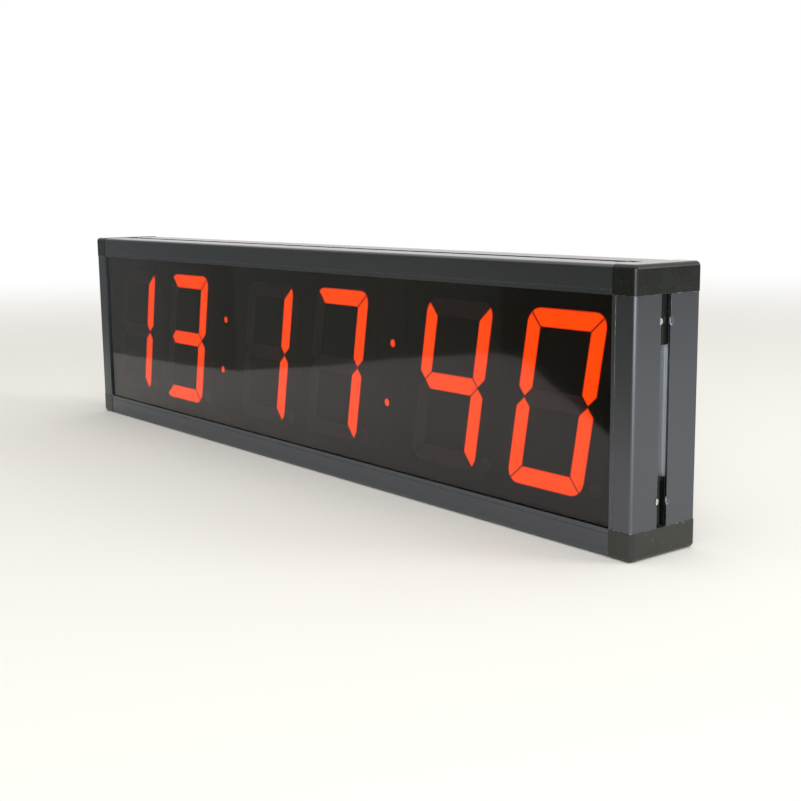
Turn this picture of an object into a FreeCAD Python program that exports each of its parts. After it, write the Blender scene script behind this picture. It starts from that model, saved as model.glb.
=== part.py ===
import FreeCAD, Part

import math
import os

# Large six-digit wall clock in an extruded aluminium frame, in millimetres.
# X runs to the viewer's right, Y to the back, Z up. The origin is the middle of the base.
# A depth is measured from the foremost face of the clock towards the back.

# Frame profile
face_width = 15.7
cap_proud = 0.3
wall = 1.6
edge_radius = 2.5
rim_edge_radius = 1.2
trim_line_inset = 2.3
trim_line_width = 0.5
trim_line_depth = 0.3
rib_thickness = 1.4
panel_rib_reach = 11.0
board_rib_reach = 3.5
cover_rib_reach = 12.0

# T-shaped groove along the outside of every profile
groove_start = 20.2
groove_mouth = 7.6
groove_undercut = 1.5
groove_depth = 4.7
groove_wall = 1.5

# Moulded corner caps and the keys that slide into the grooves
cap_radius = 3.0
cap_rim_radius = 1.4
cap_core_wall = 2.6
key_length = 26.5
key_sink = 2.3
key_clearance = 0.2
key_end_radius = 2.0
key_slot_width = 2.4
key_slot_depth = 1.2
key_slot_rib = 1.2
key_slot_end_gap = 1.0
stake_from_cap = 14.0
stake_ball_radius = 4.3
stake_depth = 0.8

# Front panel and its seal
panel_thickness = 3.0
panel_edge_gap = 0.8
seal_thickness = 0.6
seal_width = 7.0
seal_edge_gap = 1.2

# Seven-segment digit modules
module_width = 87.2
module_height = 122.0
module_depth = 13.0
module_gap = 0.2
module_to_rail = 0.3
module_to_stile = 1.2
module_behind_rib = 0.7
module_chamfer = 0.4
digit_width = 58.7
digit_height = 101.6
digit_left_shift = 0.8
digit_slant_deg = 10.0
digit_corner_radius = 9.0
segment_stroke = 10.5
segment_gap = 0.6
segment_thickness = 4.0
segment_clearance = 0.1
point_radius = 4.35
point_from_waist = 6.3
point_above_base = 6.2
pin_radius = 0.4
pin_reach = 3.0
pin_pitch = 12.7
pins_per_row = 5
pin_row_inset = 5.0
hole_clearance = 0.1

# Colon strips and their lamps
colon_strip_width = 30.8
colon_wall = 2.0
colon_spread = 38.8
colon_left_shift = 1.6
lamp_radius = 2.5
lamp_length = 8.6
lamp_dome = 1.0
lamp_clearance = 0.2
lamp_lead_width = 0.5
lamp_lead_spread = 2.54

# Display boards in the card slots of the top and bottom rails
board_thickness = 1.6
board_slot_clearance = 0.2
board_edge_gap = 0.4
board_to_board = 0.4
link_length = 16.0
link_width = 12.0
link_height = 5.0

# Main board behind the middle display board
standoff_height = 8.0
standoff_radius = 2.75
standoff_inset = 8.0
standoff_floor = 1.6
main_board_width = 150.0
main_board_height = 70.0
main_board_from_left = 12.0
header_length = 25.4
header_width = 5.0
header_inset = 18.0

# Parts on the main board, each placed from its lower left corner
controller_side = 12.0
controller_height = 1.4
controller_place = (72.0, 34.0)
driver_length = 10.3
driver_width = 7.5
driver_height = 2.3
driver_count = 4
driver_pitch = 12.0
driver_to_screw = 3.0
driver_above_base = 55.0
crystal_length = 11.0
crystal_width = 4.6
crystal_height = 3.5
crystal_end_flat = 0.2
crystal_place = (72.0, 20.0)
inductor_side = 12.0
inductor_height = 6.0
inductor_chamfer = 2.0
inductor_place = (96.0, 30.0)
capacitor_radius = 4.0
capacitor_height = 10.0
capacitor_count = 3
capacitor_pitch = 11.0
capacitor_to_jack = 3.0
capacitor_above_base = 12.0
cell_radius = 10.0
cell_height = 3.2
cell_clearance = 0.2
holder_wall = 2.4
holder_floor = 1.0
holder_lip = 0.8
holder_place = (42.0, 22.0)

# Setting buttons, pressed from the back
button_radius = 3.5
button_clearance = 0.2
button_stand = 1.8
button_travel = 1.0
button_flange = 1.3
button_flange_thickness = 1.0
button_dish_radius = 9.0
button_dish_depth = 0.4
button_stem_radius = 1.7
button_pitch = 16.0
button_count = 3
button_place = (20.0, 52.0)
switch_side = 8.0
switch_height = 4.3
switch_bore_clearance = 0.3
switch_bore_floor = 1.5
switch_rest_gap = 0.3

# Low-voltage power jack, facing down into a bay in the rear cover
jack_width = 9.0
jack_height = 11.0
jack_length = 14.0
jack_axis_height = 6.5
jack_bore_radius = 2.9
jack_bore_length = 10.0
jack_pin_radius = 1.0
jack_pin_short = 1.0
jack_from_right = 28.0
jack_to_cover = 1.7
jack_nose = 1.5
jack_to_bay = 0.3
plug_radius = 5.0
plug_side_room = 7.5
plug_under_room = 0.6
bay_height = 38.0
bay_above_base = 25.5
bay_wall = 1.5
bay_corner_radius = 3.0
bay_flange_width = 6.0
bay_flange_thickness = 1.5
bay_clearance = 0.3
bay_hole_clearance = 0.5

# Rear cover inside the back rim of the frame
cover_thickness = 2.0
cover_recess = 4.5
cover_edge_gap = 0.4
cover_screws_per_rail = 4
cover_screw_inset = 9.0
cover_screw_drop = 7.5
keyhole_spacing = 400.0
keyhole_entry_radius = 4.5
keyhole_slot_radius = 2.3
keyhole_rise = 10.0
keyhole_height = 108.0
vent_count = 10
vent_width = 3.0
vent_height = 34.0
vent_pitch = 12.0
vent_from_middle = 150.0
vent_low = 26.0
vent_end_flat = 0.02
lead_notch_width = 6.0

# Machine screws
screw_radius = 1.5
screw_head_radius = 2.8
screw_head_height = 2.0
screw_crown_radius = 0.65
screw_socket_radius = 1.1
screw_socket_width = 0.55
screw_socket_depth = 1.1
screw_length = 8.0
screw_tip_reach = 1.0
screw_clearance = 0.2
screw_thread_clearance = 0.05

# Time shown: the lit segments of each digit, from left to right
lit_segments = ("bc", "abcdg", "bc", "abc", "bcfg", "abcdef")
pair_names = ("hours", "minutes", "seconds")

# Sizes that follow from those above
pair_width = 2 * module_width + module_gap
colon_bay = colon_strip_width + 2 * module_gap
array_width = 3 * pair_width + 2 * colon_bay
overall_width = array_width + 2 * (module_to_stile + face_width)
overall_height = module_height + 2 * (module_to_rail + face_width)
half_width = overall_width / 2
middle_height = overall_height / 2
rail_length = overall_width - 2 * face_width
stile_length = overall_height - 2 * face_width

lip_back = cap_proud + wall
panel_back = lip_back + panel_thickness
panel_rib_front = panel_back + seal_thickness
panel_rib_back = panel_rib_front + rib_thickness
module_front = panel_rib_back + module_behind_rib
module_back = module_front + module_depth
board_back = module_back + board_thickness
main_front = board_back + standoff_height
main_back = main_front + board_thickness
cover_front = main_back + jack_height + jack_to_cover
cover_back = cover_front + cover_thickness
overall_depth = cover_back + cover_recess

groove_end = groove_start + groove_mouth
cavity_start = groove_start - groove_undercut
cavity_end = groove_end + groove_undercut
profile_back = overall_depth - cap_proud
profile_face = face_width - cap_proud
groove_floor = groove_depth + groove_wall
beyond = wall  # how far a cutter runs past the face that it opens

array_left = -array_width / 2
pair_pitch = pair_width + colon_bay
module_low = middle_height - module_height / 2
board_edge = cap_proud + groove_floor + board_edge_gap
minutes_left = array_left + pair_pitch
main_left = minutes_left + main_board_from_left
bay_top = bay_above_base + bay_height
jack_mouth = bay_top + bay_wall + jack_to_bay
main_low = jack_mouth + jack_nose
jack_from_left = main_board_width - jack_from_right
jack_x = main_left + jack_from_left
jack_axis = main_back + jack_axis_height
bay_floor = jack_axis - plug_radius - plug_under_room
bay_half_width = plug_radius + plug_side_room
cover_edge = cap_proud + wall + cover_edge_gap
button_front = cover_front - button_flange_thickness


def y_at(depth):
    """Y of a plane that lies this far behind the foremost face."""
    return depth - overall_depth / 2


def block(x0, x1, depth0, depth1, z0, z1):
    """A box between two x, two depths and two heights."""
    corner = FreeCAD.Vector(x0, y_at(depth0), z0)
    return Part.makeBox(x1 - x0, depth1 - depth0, z1 - z0, corner)


def rod(x, depth0, depth1, z, radius):
    """A round bar along Y between two depths."""
    start = FreeCAD.Vector(x, y_at(depth0), z)
    return Part.makeCylinder(radius, depth1 - depth0, start, FreeCAD.Vector(0, 1, 0))


def fuse_all(shapes):
    """One solid from pieces that touch or overlap."""
    return shapes[0].multiFuse(shapes[1:]).removeSplitter()


def same(first, second):
    """Whether two lengths are equal, to a millionth of a millimetre."""
    return abs(first - second) < 1e-6


def runs_back(middle, edge):
    """Whether a straight edge runs from front to back."""
    return same(abs(edge.tangentAt(edge.FirstParameter).y), 1)


def edges_where(shape, test):
    """The straight edges of a shape whose middle point passes a test."""
    found = []
    for edge in shape.Edges:
        if edge.Degenerated:
            continue
        if isinstance(edge.Curve, Part.Line) and test(edge.CenterOfMass, edge):
            found.append(edge)
    return found


def moved(shape, x=0.0, y=0.0, z=0.0):
    """A copy of a shape, shifted."""
    copy = shape.copy()
    copy.translate(FreeCAD.Vector(x, y, z))
    return copy


def turned(shape, degrees):
    """A copy turned about the Y axis: 90 degrees takes the top to the right."""
    copy = shape.copy()
    copy.rotate(FreeCAD.Vector(0, 0, 0), FreeCAD.Vector(0, 1, 0), degrees)
    return copy


def save(node, shape):
    """Writes one node's solids to its STEP file."""
    solids = shape.Solids
    if not solids or not all(solid.isValid() and solid.Volume > 0 for solid in solids):
        raise ValueError(node + " is not made of valid solids")
    kept = solids[0] if len(solids) == 1 else Part.makeCompound(solids)
    kept.exportStep(os.path.join("parts", node + ".step"))


# Frame

def profile(length):
    """A length of the extrusion along X, outer face up at z = 0, before its holes are made."""
    half = length / 2

    def bar(depth0, depth1, reach0, reach1):
        return block(-half, half, depth0, depth1, -reach1, -reach0)

    rib_slot = board_thickness + 2 * board_slot_clearance
    slot_front = module_back - board_slot_clearance
    slot_back = slot_front + rib_slot
    board_reach = groove_floor + board_rib_reach
    pieces = [
        bar(cap_proud, profile_back, 0, wall),
        bar(cap_proud, lip_back, 0, profile_face),
        bar(panel_rib_front, panel_rib_back, 0, panel_rib_reach),
        bar(cavity_start - groove_wall, cavity_end + groove_wall, 0, groove_floor),
        bar(slot_front - rib_thickness, slot_front, 0, board_reach),
        bar(slot_back, slot_back + rib_thickness, 0, board_reach),
        bar(cover_front - rib_thickness, cover_front, 0, cover_rib_reach),
    ]
    solid = fuse_all(pieces)
    solid = solid.cut(bar(groove_start, groove_end, -beyond, groove_depth))
    solid = solid.cut(bar(cavity_start, cavity_end, wall, groove_depth))
    line_reach = profile_face - trim_line_inset
    line = bar(cap_proud - beyond, cap_proud + trim_line_depth,
               line_reach - trim_line_width, line_reach)
    solid = solid.cut(line)
    for depth, radius in ((cap_proud, edge_radius), (profile_back, rim_edge_radius)):
        outer = edges_where(
            solid,
            lambda middle, edge: same(middle.z, 0) and same(middle.y, y_at(depth))
            and edge.Length > length / 2,
        )
        solid = solid.makeFillet(radius, outer)
    return solid


def stake_marks(length):
    """The dents that pin the corner keys, one on each lip of the groove near each end."""
    marks = []
    for x in (-length / 2 + stake_from_cap, length / 2 - stake_from_cap):
        for depth in (groove_start, groove_end):
            centre = FreeCAD.Vector(x, y_at(depth), stake_ball_radius - stake_depth)
            marks.append(Part.makeSphere(stake_ball_radius, centre))
    return marks


def cover_screw_places():
    """X of the screws that hold the rear cover to one rail."""
    reach = rail_length / 2 - cover_screw_inset
    step = 2 * reach / (cover_screws_per_rail - 1)
    return [-reach + i * step for i in range(cover_screws_per_rail)]


def rail():
    """A long profile with its dents and the tapped holes for the cover screws."""
    cutters = stake_marks(rail_length)
    for x in cover_screw_places():
        hole = rod(x, cover_front - rib_thickness - beyond, cover_front + beyond,
                   -cover_screw_drop, screw_radius + screw_thread_clearance)
        cutters.append(hole)
    return profile(rail_length).cut(cutters)


def build_frame():
    """Four profiles that butt on the corner caps."""
    long_piece = rail()
    short_piece = profile(stile_length).cut(stake_marks(stile_length))
    save("top_rail", moved(long_piece, z=overall_height - cap_proud))
    bottom = moved(turned(long_piece, 180), z=cap_proud)
    notch = block(jack_x - lead_notch_width / 2, jack_x + lead_notch_width / 2,
                  cover_back, overall_depth + beyond, -beyond, cover_edge + beyond)
    save("bottom_rail", bottom.cut(notch))
    side = half_width - cap_proud
    save("right_stile", moved(turned(short_piece, 90), x=side, z=middle_height))
    save("left_stile", moved(turned(short_piece, -90), x=-side, z=middle_height))


def corner_key(slotted):
    """The key below a cap, in the groove of a profile whose outer face is at x = -cap_proud."""
    front = cavity_start + key_clearance
    back = cavity_end - key_clearance
    outside = -cap_proud - key_sink
    inside = -cap_proud - groove_depth + key_clearance
    low = -face_width - key_length
    key = block(inside, outside, front, back, low, beyond - face_width)
    corners = edges_where(
        key, lambda middle, edge: same(middle.z, low) and edge.Length < groove_depth
    )
    key = key.makeFillet(key_end_radius, corners)
    if not slotted:
        return key
    middle = (front + back) / 2
    for sign in (-1, 1):
        centre = middle + sign * (key_slot_rib + key_slot_width) / 2
        slot = block(outside - key_slot_depth, outside + beyond, centre - key_slot_width / 2,
                     centre + key_slot_width / 2, low + key_end_radius,
                     -face_width - key_slot_end_gap)
        key = key.cut(slot)
    return key


def corner_cap():
    """The top right corner moulding, its outer corner at x = 0 and z = 0."""
    body = block(-face_width, 0, 0, overall_depth, -face_width, 0)

    def at_outside(middle):
        return same(middle.x, 0), same(middle.z, 0)

    def is_outer(middle, edge):
        at_front = same(middle.y, y_at(0))
        return all(at_outside(middle)) or (at_front and any(at_outside(middle)))

    def is_rim(middle, edge):
        return same(middle.y, y_at(overall_depth)) and any(at_outside(middle))

    body = body.makeFillet(cap_radius, edges_where(body, is_outer))
    body = body.makeFillet(cap_rim_radius, edges_where(body, is_rim))
    inside = -face_width - beyond

    def pocket(skin, front, back):
        return block(inside, -skin, front, back, inside, -skin)

    skin = cap_proud + wall
    body = body.cut([
        pocket(skin, lip_back, panel_rib_front),
        pocket(cap_core_wall, panel_rib_back, cavity_start - groove_wall),
        pocket(cap_core_wall, cavity_end + groove_wall, cover_front - rib_thickness),
        pocket(skin, cover_front, overall_depth + beyond),
    ])
    side_key = corner_key(False)
    top_key = corner_key(True).mirror(FreeCAD.Vector(0, 0, 0), FreeCAD.Vector(1, 0, -1))
    return fuse_all([body, side_key, top_key])


def build_caps():
    """One moulding used four times, turned a quarter turn further at each corner."""
    cap = corner_cap()
    places = (
        ("top_right", half_width, overall_height),
        ("bottom_right", half_width, 0),
        ("bottom_left", -half_width, 0),
        ("top_left", -half_width, overall_height),
    )
    for quarter_turns, (corner, x, z) in enumerate(places):
        save("corner_cap_" + corner, moved(turned(cap, quarter_turns * 90), x=x, z=z))


def build_front_panel():
    """The tinted panel and the foam strips that press it against the frame lips."""
    edge = cap_proud + wall + panel_edge_gap
    save("front_panel", block(-half_width + edge, half_width - edge, lip_back, panel_back,
                              edge, overall_height - edge))
    near = cap_proud + wall + seal_edge_gap
    far = near + seal_width
    strips = []
    for low in (near, overall_height - far):
        strips.append(block(-rail_length / 2, rail_length / 2, panel_back, panel_rib_front,
                            low, low + seal_width))
    for left in (-half_width + near, half_width - far):
        strips.append(block(left, left + seal_width, panel_back, panel_rib_front,
                            face_width, overall_height - face_width))
    save("panel_seal", Part.makeCompound(strips))


# Digits

def path_face(points, arcs):
    """A flat face in the XZ plane through points; arcs gives the middle point of a curved side."""
    edges = []
    for i, start in enumerate(points):
        end = points[(i + 1) % len(points)]
        first = FreeCAD.Vector(start[0], 0, start[1])
        last = FreeCAD.Vector(end[0], 0, end[1])
        if i in arcs:
            bend = FreeCAD.Vector(arcs[i][0], 0, arcs[i][1])
            edges.append(Part.Arc(first, bend, last).toShape())
        else:
            edges.append(Part.LineSegment(first, last).toShape())
    return Part.Face(Part.Wire(edges))


def segment_set(grow, thickness):
    """The seven slanted segments about the digit's middle, each grown outwards all round."""
    half_w = digit_width / 2 + grow
    half_h = digit_height / 2 + grow
    stroke = segment_stroke + 2 * grow
    gap = segment_gap - 2 * grow
    radius = digit_corner_radius + grow
    step = gap / math.sqrt(2)
    lean = math.asin(gap / 2 / radius)

    def on_corner(angle, side=1):
        x = half_w - radius + radius * math.cos(angle)
        return side * x, half_h - radius + radius * math.sin(angle)

    quarter = math.pi / 4
    inner_x = half_w - stroke - step
    top = path_face(
        [(-inner_x, half_h - stroke), on_corner(quarter + lean, -1), (radius - half_w, half_h),
         (half_w - radius, half_h), on_corner(quarter + lean), (inner_x, half_h - stroke)],
        {1: on_corner(1.5 * quarter + lean / 2, -1), 3: on_corner(1.5 * quarter + lean / 2)},
    )
    side = path_face(
        [on_corner(quarter - lean), (half_w, half_h - radius), (half_w, stroke / 2 + step),
         (half_w - stroke / 2, step), (half_w - stroke, stroke / 2 + step),
         (half_w - stroke, half_h - stroke - step)],
        {0: on_corner(0.5 * (quarter - lean))},
    )
    tip = half_w - stroke / 2 - step
    middle = path_face(
        [(-tip, 0), (stroke / 2 - tip, stroke / 2), (tip - stroke / 2, stroke / 2), (tip, 0),
         (tip - stroke / 2, -stroke / 2), (stroke / 2 - tip, -stroke / 2)],
        {},
    )
    origin = FreeCAD.Vector(0, 0, 0)
    across = FreeCAD.Vector(1, 0, 0)
    upright = FreeCAD.Vector(0, 0, 1)
    extrude = FreeCAD.Vector(0, thickness, 0)
    a = top.extrude(extrude)
    b = side.extrude(extrude)
    flat = {
        "a": a,
        "b": b,
        "c": b.mirror(origin, upright),
        "d": a.mirror(origin, upright),
        "e": b.mirror(origin, upright).mirror(origin, across),
        "f": b.mirror(origin, across),
        "g": middle.extrude(extrude),
    }
    shear = FreeCAD.Matrix()
    shear.A13 = math.tan(math.radians(digit_slant_deg))
    return {name: solid.transformGeometry(shear) for name, solid in flat.items()}


def decimal_point(grow, thickness):
    """The round point at the lower right of a digit."""
    x = digit_width / 2 - segment_stroke / 2 + point_from_waist
    z = point_above_base - digit_height / 2
    centre = FreeCAD.Vector(x, 0, z)
    return Part.makeCylinder(point_radius + grow, thickness, centre, FreeCAD.Vector(0, 1, 0))


def module_lefts():
    """Left edge of each digit module."""
    lefts = []
    for pair in range(3):
        for place in range(2):
            lefts.append(array_left + pair * pair_pitch + place * (module_width + module_gap))
    return lefts


def pin_places(left):
    """X and Z of the connecting pins of the module with this left edge."""
    places = []
    for row in (module_low + pin_row_inset, module_low + module_height - pin_row_inset):
        for i in range(pins_per_row):
            offset = (i - (pins_per_row - 1) / 2) * pin_pitch
            places.append((left + module_width / 2 + offset, row))
    return places


def build_digits():
    """Six modules: a dark shell with eight light wells, and the diffusers that fill them."""
    segments = segment_set(0, segment_thickness)
    point = decimal_point(0, segment_thickness)
    well_depth = segment_thickness + beyond
    wells = list(segment_set(segment_clearance, well_depth).values())
    wells.append(decimal_point(segment_clearance, well_depth))
    digit_x = module_width / 2 - digit_left_shift
    front = y_at(module_front)
    shell = block(0, module_width, module_front, module_back, module_low,
                  module_low + module_height)
    rim = edges_where(shell, lambda middle, edge: same(middle.y, front))
    shell = shell.makeChamfer(module_chamfer, rim)
    shell = shell.cut([moved(well, digit_x, front - beyond, middle_height) for well in wells])
    pins = []
    for number, left in enumerate(module_lefts(), start=1):
        name = "digit_%d" % number
        save(name + "_housing", moved(shell, x=left))
        lit = []
        dark = [point]
        for letter, solid in segments.items():
            (lit if letter in lit_segments[number - 1] else dark).append(solid)
        for suffix, group in (("_lit_segments", lit), ("_dark_segments", dark)):
            placed = [moved(solid, left + digit_x, front, middle_height) for solid in group]
            save(name + suffix, Part.makeCompound(placed))
        for x, z in pin_places(left):
            pins.append(rod(x, module_back, module_back + pin_reach, z, pin_radius))
    save("digit_pins", Part.makeCompound(pins))


def build_colons():
    """A dark strip between each two pairs of digits, with two lamps on the digits' slant."""
    lean = math.tan(math.radians(digit_slant_deg))
    for number in (1, 2):
        left = array_left + number * pair_pitch - colon_strip_width - module_gap
        right = left + colon_strip_width
        low = module_low
        high = module_low + module_height
        strip = block(left, right, module_front, module_back, low, high)
        hollow = block(left + colon_wall, right - colon_wall, module_front + colon_wall,
                       module_back + beyond, low + colon_wall, high - colon_wall)
        cutters = [hollow]
        lamps = []
        for sign in (-1, 1):
            z = middle_height + sign * colon_spread / 2
            x = (left + right) / 2 - colon_left_shift + sign * colon_spread / 2 * lean
            cutters.append(rod(x, module_front - beyond, module_front + colon_wall + beyond, z,
                               lamp_radius + lamp_clearance))
            lamps.append(lamp(x, z))
        save("colon_strip_%d" % number, strip.cut(cutters))
        save("colon_lamps_%d" % number, Part.makeCompound(lamps))


def lamp(x, z):
    """A round light-emitting diode with a low dome, on two leads that stand on the board."""
    lens = rod(x, module_front, module_front + lamp_length, z, lamp_radius)
    front = y_at(module_front)
    rim = [edge for edge in lens.Edges
           if isinstance(edge.Curve, Part.Circle) and same(edge.CenterOfMass.y, front)]
    lens = lens.makeFillet(lamp_dome, rim)
    half = lamp_lead_width / 2
    pieces = [lens]
    for side in (-1, 1):
        centre = x + side * lamp_lead_spread / 2
        pieces.append(block(centre - half, centre + half, module_front + lamp_length,
                            module_back, z - half, z + half))
    return fuse_all(pieces)


# Electronics

def build_display_boards():
    """Three boards that slide in the rails, joined by links on their back faces."""
    high = overall_height - board_edge
    lefts = module_lefts()
    links = []
    link_low = middle_height - link_width / 2
    for pair, name in enumerate(pair_names):
        left = array_left + pair * pair_pitch
        last = pair == len(pair_names) - 1
        right = left + (pair_width if last else pair_pitch - board_to_board)
        board = block(left, right, module_back, board_back, board_edge, high)
        holes = []
        for module_left in lefts[2 * pair:2 * pair + 2]:
            for x, z in pin_places(module_left):
                holes.append(rod(x, module_back - beyond, board_back + beyond, z,
                                 pin_radius + hole_clearance))
        save("display_board_" + name, board.cut(holes))
        if not last:
            seam = right + board_to_board / 2
            links.append(block(seam - link_length / 2, seam + link_length / 2, board_back,
                               board_back + link_height, link_low, link_low + link_width))
    save("board_links", Part.makeCompound(links))


def standoff_places():
    """X and Z of the four standoffs under the main board."""
    places = []
    for x in (main_left + standoff_inset, main_left + main_board_width - standoff_inset):
        for z in (main_low + standoff_inset, main_low + main_board_height - standoff_inset):
            places.append((x, z))
    return places


def screw(x, z, seat, length=screw_length):
    """A pan-head screw driven forwards, its head standing behind the seat depth."""
    head = rod(x, seat, seat + screw_head_height, z, screw_head_radius)
    crown = [edge for edge in head.Edges
             if isinstance(edge.Curve, Part.Circle)
             and edge.CenterOfMass.y > y_at(seat) + screw_head_height / 2]
    head = head.makeFillet(screw_crown_radius, crown)
    top = seat + screw_head_height
    for across, up in ((screw_socket_radius, screw_socket_width / 2),
                       (screw_socket_width / 2, screw_socket_radius)):
        head = head.cut(block(x - across, x + across, top - screw_socket_depth, top + beyond,
                              z - up, z + up))
    shank = rod(x, seat - length, seat, z, screw_radius)
    return fuse_all([head, shank])


def build_main_board():
    """The main board on four standoffs, plugged to the display board by two pin headers."""
    high = main_low + main_board_height
    board = block(main_left, main_left + main_board_width, main_front, main_back, main_low, high)
    posts = []
    screws = []
    for x, z in standoff_places():
        board = board.cut(rod(x, main_front - beyond, main_back + beyond, z,
                              screw_radius + screw_clearance))
        post = rod(x, board_back, main_front, z, standoff_radius)
        bore = rod(x, board_back + standoff_floor, main_front + beyond, z,
                   screw_radius + screw_thread_clearance)
        posts.append(post.cut(bore))
        screws.append(screw(x, z, main_back, standoff_height))
    save("main_board", board)
    save("standoffs", Part.makeCompound(posts))
    save("board_screws", Part.makeCompound(screws))
    headers = []
    left = main_left + (main_board_width - header_length) / 2
    for z in (main_low + header_inset, high - header_inset):
        headers.append(block(left, left + header_length, board_back, main_front,
                             z - header_width / 2, z + header_width / 2))
    save("pin_headers", Part.makeCompound(headers))


def on_board(place, width, height, thickness):
    """A box on the back of the main board, from its lower left corner."""
    x = main_left + place[0]
    z = main_low + place[1]
    return block(x, x + width, main_back, main_back + thickness, z, z + height)


def disc_on_board(place, radius, start, thickness):
    """A round piece behind the main board, from its middle."""
    return rod(main_left + place[0], main_back + start, main_back + start + thickness,
               main_low + place[1], radius)


def build_components():
    """The parts soldered to the back of the main board."""
    save("microcontroller", on_board(controller_place, controller_side, controller_side,
                                     controller_height))
    drivers = []
    last = main_board_width - standoff_inset - screw_head_radius - driver_to_screw - driver_width
    for i in range(driver_count):
        place = (last - i * driver_pitch, driver_above_base)
        drivers.append(on_board(place, driver_width, driver_length, driver_height))
    save("segment_drivers", Part.makeCompound(drivers))
    can = on_board(crystal_place, crystal_length, crystal_width, crystal_height)
    end_radius = (crystal_width - crystal_end_flat) / 2
    save("clock_crystal", can.makeFillet(end_radius, edges_where(can, runs_back)))
    coil = on_board(inductor_place, inductor_side, inductor_side, inductor_height)
    save("power_inductor", coil.makeChamfer(inductor_chamfer, edges_where(coil, runs_back)))
    cans = []
    last = jack_from_left - jack_width / 2 - capacitor_to_jack - capacitor_radius
    for i in range(capacitor_count):
        place = (last - i * capacitor_pitch, capacitor_above_base)
        cans.append(disc_on_board(place, capacitor_radius, 0, capacitor_height))
    save("capacitors", Part.makeCompound(cans))
    holder_radius = cell_radius + cell_clearance + holder_wall
    holder = disc_on_board(holder_place, holder_radius, 0, holder_floor + cell_height + holder_lip)
    pocket = disc_on_board(holder_place, cell_radius + cell_clearance, holder_floor,
                           cell_height + holder_lip + beyond)
    save("battery_holder", holder.cut(pocket))
    save("backup_battery", disc_on_board(holder_place, cell_radius, holder_floor, cell_height))


def button_places():
    """X and Z of the setting buttons."""
    return [(main_left + button_place[0] + i * button_pitch, main_low + button_place[1])
            for i in range(button_count)]


def build_buttons():
    """Three buttons held by a flange behind the cover, each with its stem in a switch."""
    bore_radius = button_stem_radius + switch_bore_clearance
    switch_top = main_back + switch_height
    bore_floor = main_back + switch_bore_floor
    stem_end = bore_floor + switch_rest_gap + button_travel
    half = switch_side / 2
    switches = []
    for (x, z), name in zip(button_places(), ("set", "up", "down")):
        body = block(x - half, x + half, main_back, switch_top, z - half, z + half)
        switches.append(body.cut(rod(x, bore_floor, switch_top + beyond, z, bore_radius)))
        cap = rod(x, cover_front, cover_back + button_stand, z, button_radius)
        dish_centre = cover_back + button_stand + button_dish_radius - button_dish_depth
        dish = Part.makeSphere(button_dish_radius, FreeCAD.Vector(x, y_at(dish_centre), z))
        flange = rod(x, button_front, cover_front, z, button_radius + button_flange)
        stem = rod(x, stem_end, button_front, z, button_stem_radius)
        save("button_" + name, fuse_all([cap.cut(dish), flange, stem]))
    save("push_switches", Part.makeCompound(switches))


def build_power_jack():
    """The jack at the lower edge of the main board, its mouth facing down."""
    half = jack_width / 2
    body = block(jack_x - half, jack_x + half, main_back, main_back + jack_height,
                 jack_mouth, jack_mouth + jack_length)
    up = FreeCAD.Vector(0, 0, 1)
    centre = FreeCAD.Vector(jack_x, y_at(jack_axis), jack_mouth)
    bore = Part.makeCylinder(jack_bore_radius, jack_bore_length, centre, up)
    save("power_jack", body.cut(bore))
    start = FreeCAD.Vector(jack_x, y_at(jack_axis), jack_mouth + jack_pin_short)
    save("power_jack_pin", Part.makeCylinder(jack_pin_radius, jack_bore_length - jack_pin_short,
                                             start, up))


# Rear cover

def bay_box(grow, front, back):
    """The rounded outline of the connector bay, grown outwards, between two depths."""
    solid = block(jack_x - bay_half_width - grow, jack_x + bay_half_width + grow, front, back,
                  bay_above_base - grow, bay_top + grow)
    return solid.makeFillet(bay_corner_radius + grow, edges_where(solid, runs_back))


def bay_screw_places():
    """X and Z of the two screws in the bay's flange."""
    z = (bay_above_base + bay_top) / 2
    reach = bay_half_width + bay_wall + bay_flange_width / 2
    return [(jack_x - reach, z), (jack_x + reach, z)]


def build_connector_bay():
    """A moulded tray, open to the back, that the power plug reaches into from below."""
    back = cover_back + bay_flange_thickness
    tray = bay_box(bay_wall, bay_floor - bay_wall, cover_back)
    flange = bay_box(bay_wall + bay_flange_width, cover_back, back)
    tray = fuse_all([tray, flange]).cut(bay_box(0, bay_floor, back + beyond))
    up = FreeCAD.Vector(0, 0, 1)
    hole_start = FreeCAD.Vector(jack_x, y_at(jack_axis), bay_top - beyond)
    cutters = [Part.makeCylinder(jack_bore_radius + bay_hole_clearance, bay_wall + 2 * beyond,
                                 hole_start, up)]
    for x, z in bay_screw_places():
        cutters.append(rod(x, cover_back - beyond, back + beyond, z,
                           screw_radius + screw_clearance))
    save("connector_bay", tray.cut(cutters))
    length = bay_flange_thickness + cover_thickness + screw_tip_reach
    screws = [screw(x, z, back, length) for x, z in bay_screw_places()]
    save("bay_screws", Part.makeCompound(screws))


def keyhole(x):
    """The cutter for one hanging keyhole: a round entry with a narrow slot above it."""
    front = cover_front - beyond
    back = cover_back + beyond
    entry = rod(x, front, back, keyhole_height, keyhole_entry_radius)
    top = rod(x, front, back, keyhole_height + keyhole_rise, keyhole_slot_radius)
    slot = block(x - keyhole_slot_radius, x + keyhole_slot_radius, front, back,
                 keyhole_height, keyhole_height + keyhole_rise)
    return fuse_all([entry, top, slot])


def vents():
    """The cutters for the upright ventilation slots, a group on each side of the middle."""
    cutters = []
    for side in (-1, 1):
        for i in range(vent_count):
            x = side * (vent_from_middle + i * vent_pitch)
            slot = block(x - vent_width / 2, x + vent_width / 2, cover_front - beyond,
                         cover_back + beyond, vent_low, vent_low + vent_height)
            end_radius = (vent_width - vent_end_flat) / 2
            cutters.append(slot.makeFillet(end_radius, edges_where(slot, runs_back)))
    return cutters


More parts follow.
